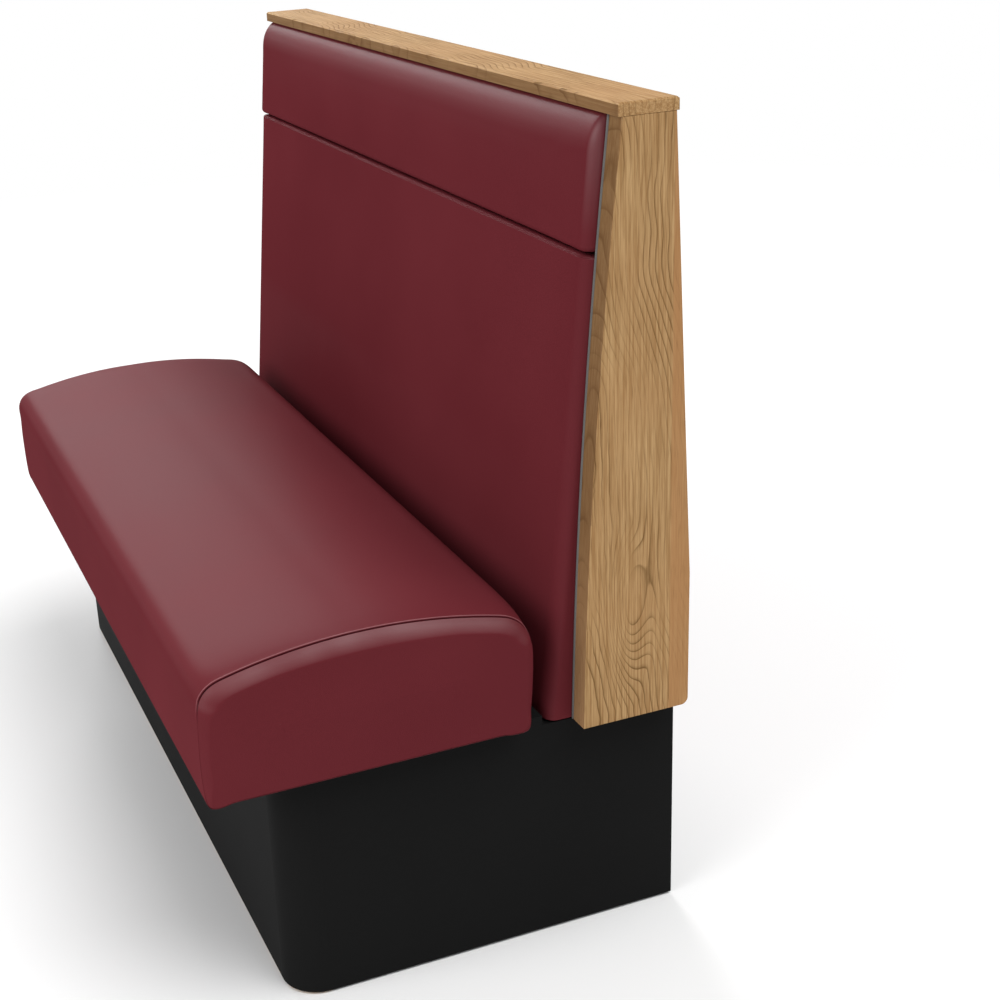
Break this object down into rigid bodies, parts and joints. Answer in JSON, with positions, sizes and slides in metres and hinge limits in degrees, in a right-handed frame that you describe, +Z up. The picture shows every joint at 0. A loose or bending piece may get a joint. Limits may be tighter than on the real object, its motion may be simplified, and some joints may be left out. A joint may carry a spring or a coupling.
{
  "type": "restaurant booth seating",
  "caption": "One-sided upholstered restaurant booth bench with a lift-off seat cushion, head roll and back pad, oak capping and end panel, on a black plinth.",
  "frame": {"origin": "on the floor, at the middle of the bench's length and depth", "axes": "+X along the bench towards the end with the oak panel, +Y towards the rear, +Z up"},
  "size_m": [1.2, 0.59, 1],
  "materials": {
    "burgundy_vinyl": "satin coated upholstery vinyl",
    "oak": "clear satin lacquer",
    "black_laminate": "satin black laminate",
    "foam": "open cell",
    "black_cambric": "matte",
    "black_rubber": "matte",
    "black_plastic": "matte",
    "zinc_steel": "zinc plated",
    "plywood": "sanded",
    "softwood": "planed"
  },
  "bodies": {
    "bench": {"back_bolt_inserts": "zinc_steel", "back_bolt_washers": "zinc_steel", "back_bolts": "zinc_steel", "back_crease_rail": "softwood", "back_left_rib": "softwood", "back_middle_rib": "softwood", "back_pad_board": "plywood", "back_pad_cover": "burgundy_vinyl", "back_pad_foam": "foam", "back_right_rib": "softwood", "back_sole_board": "softwood", "back_top_rail": "softwood", "cap_screws": "zinc_steel", "crease_rail_angle_left": "zinc_steel", "crease_rail_angle_right": "zinc_steel", "deck_screws": "zinc_steel", "floor_bracket_left": "zinc_steel", "floor_bracket_right": "zinc_steel", "head_roll_board": "plywood", "head_roll_cover": "burgundy_vinyl", "head_roll_foam": "foam", "left_end_panel": "black_laminate", "oak_cap": "oak", "oak_end_panel": "oak", "pad_screws": "zinc_steel", "plinth_back_bearer": "softwood", "plinth_front_board": "softwood", "plinth_glides": "black_plastic", "plinth_left_board": "softwood", "plinth_left_corner_block": "softwood", "plinth_left_corner_post": "softwood", "plinth_left_cross_bearer": "softwood", "plinth_rear_board": "softwood", "plinth_right_board": "softwood", "plinth_right_corner_block": "softwood", "plinth_right_corner_post": "softwood", "plinth_right_cross_bearer": "softwood", "plinth_skin": "black_laminate", "rear_lower_board": "plywood", "rear_lower_cover": "burgundy_vinyl", "rear_lower_foam": "foam", "rear_upper_board": "plywood", "rear_upper_cover": "burgundy_vinyl", "rear_upper_foam": "foam", "seat_deck": "black_laminate"},
    "seat_cushion": {"seat_base_board": "plywood", "seat_cover": "burgundy_vinyl", "seat_dust_cover": "black_cambric", "seat_foam": "foam", "seat_left_side_panel": "burgundy_vinyl", "seat_locating_pegs": "black_plastic", "seat_rest_pads": "black_rubber", "seat_right_side_panel": "burgundy_vinyl"}
  },
  "joints": [
    {"name": "seat_lift", "type": "slide", "parent": "bench", "child": "seat_cushion", "axis": [0, 0, 1], "range_m": [0, 0.15]}
  ]
}
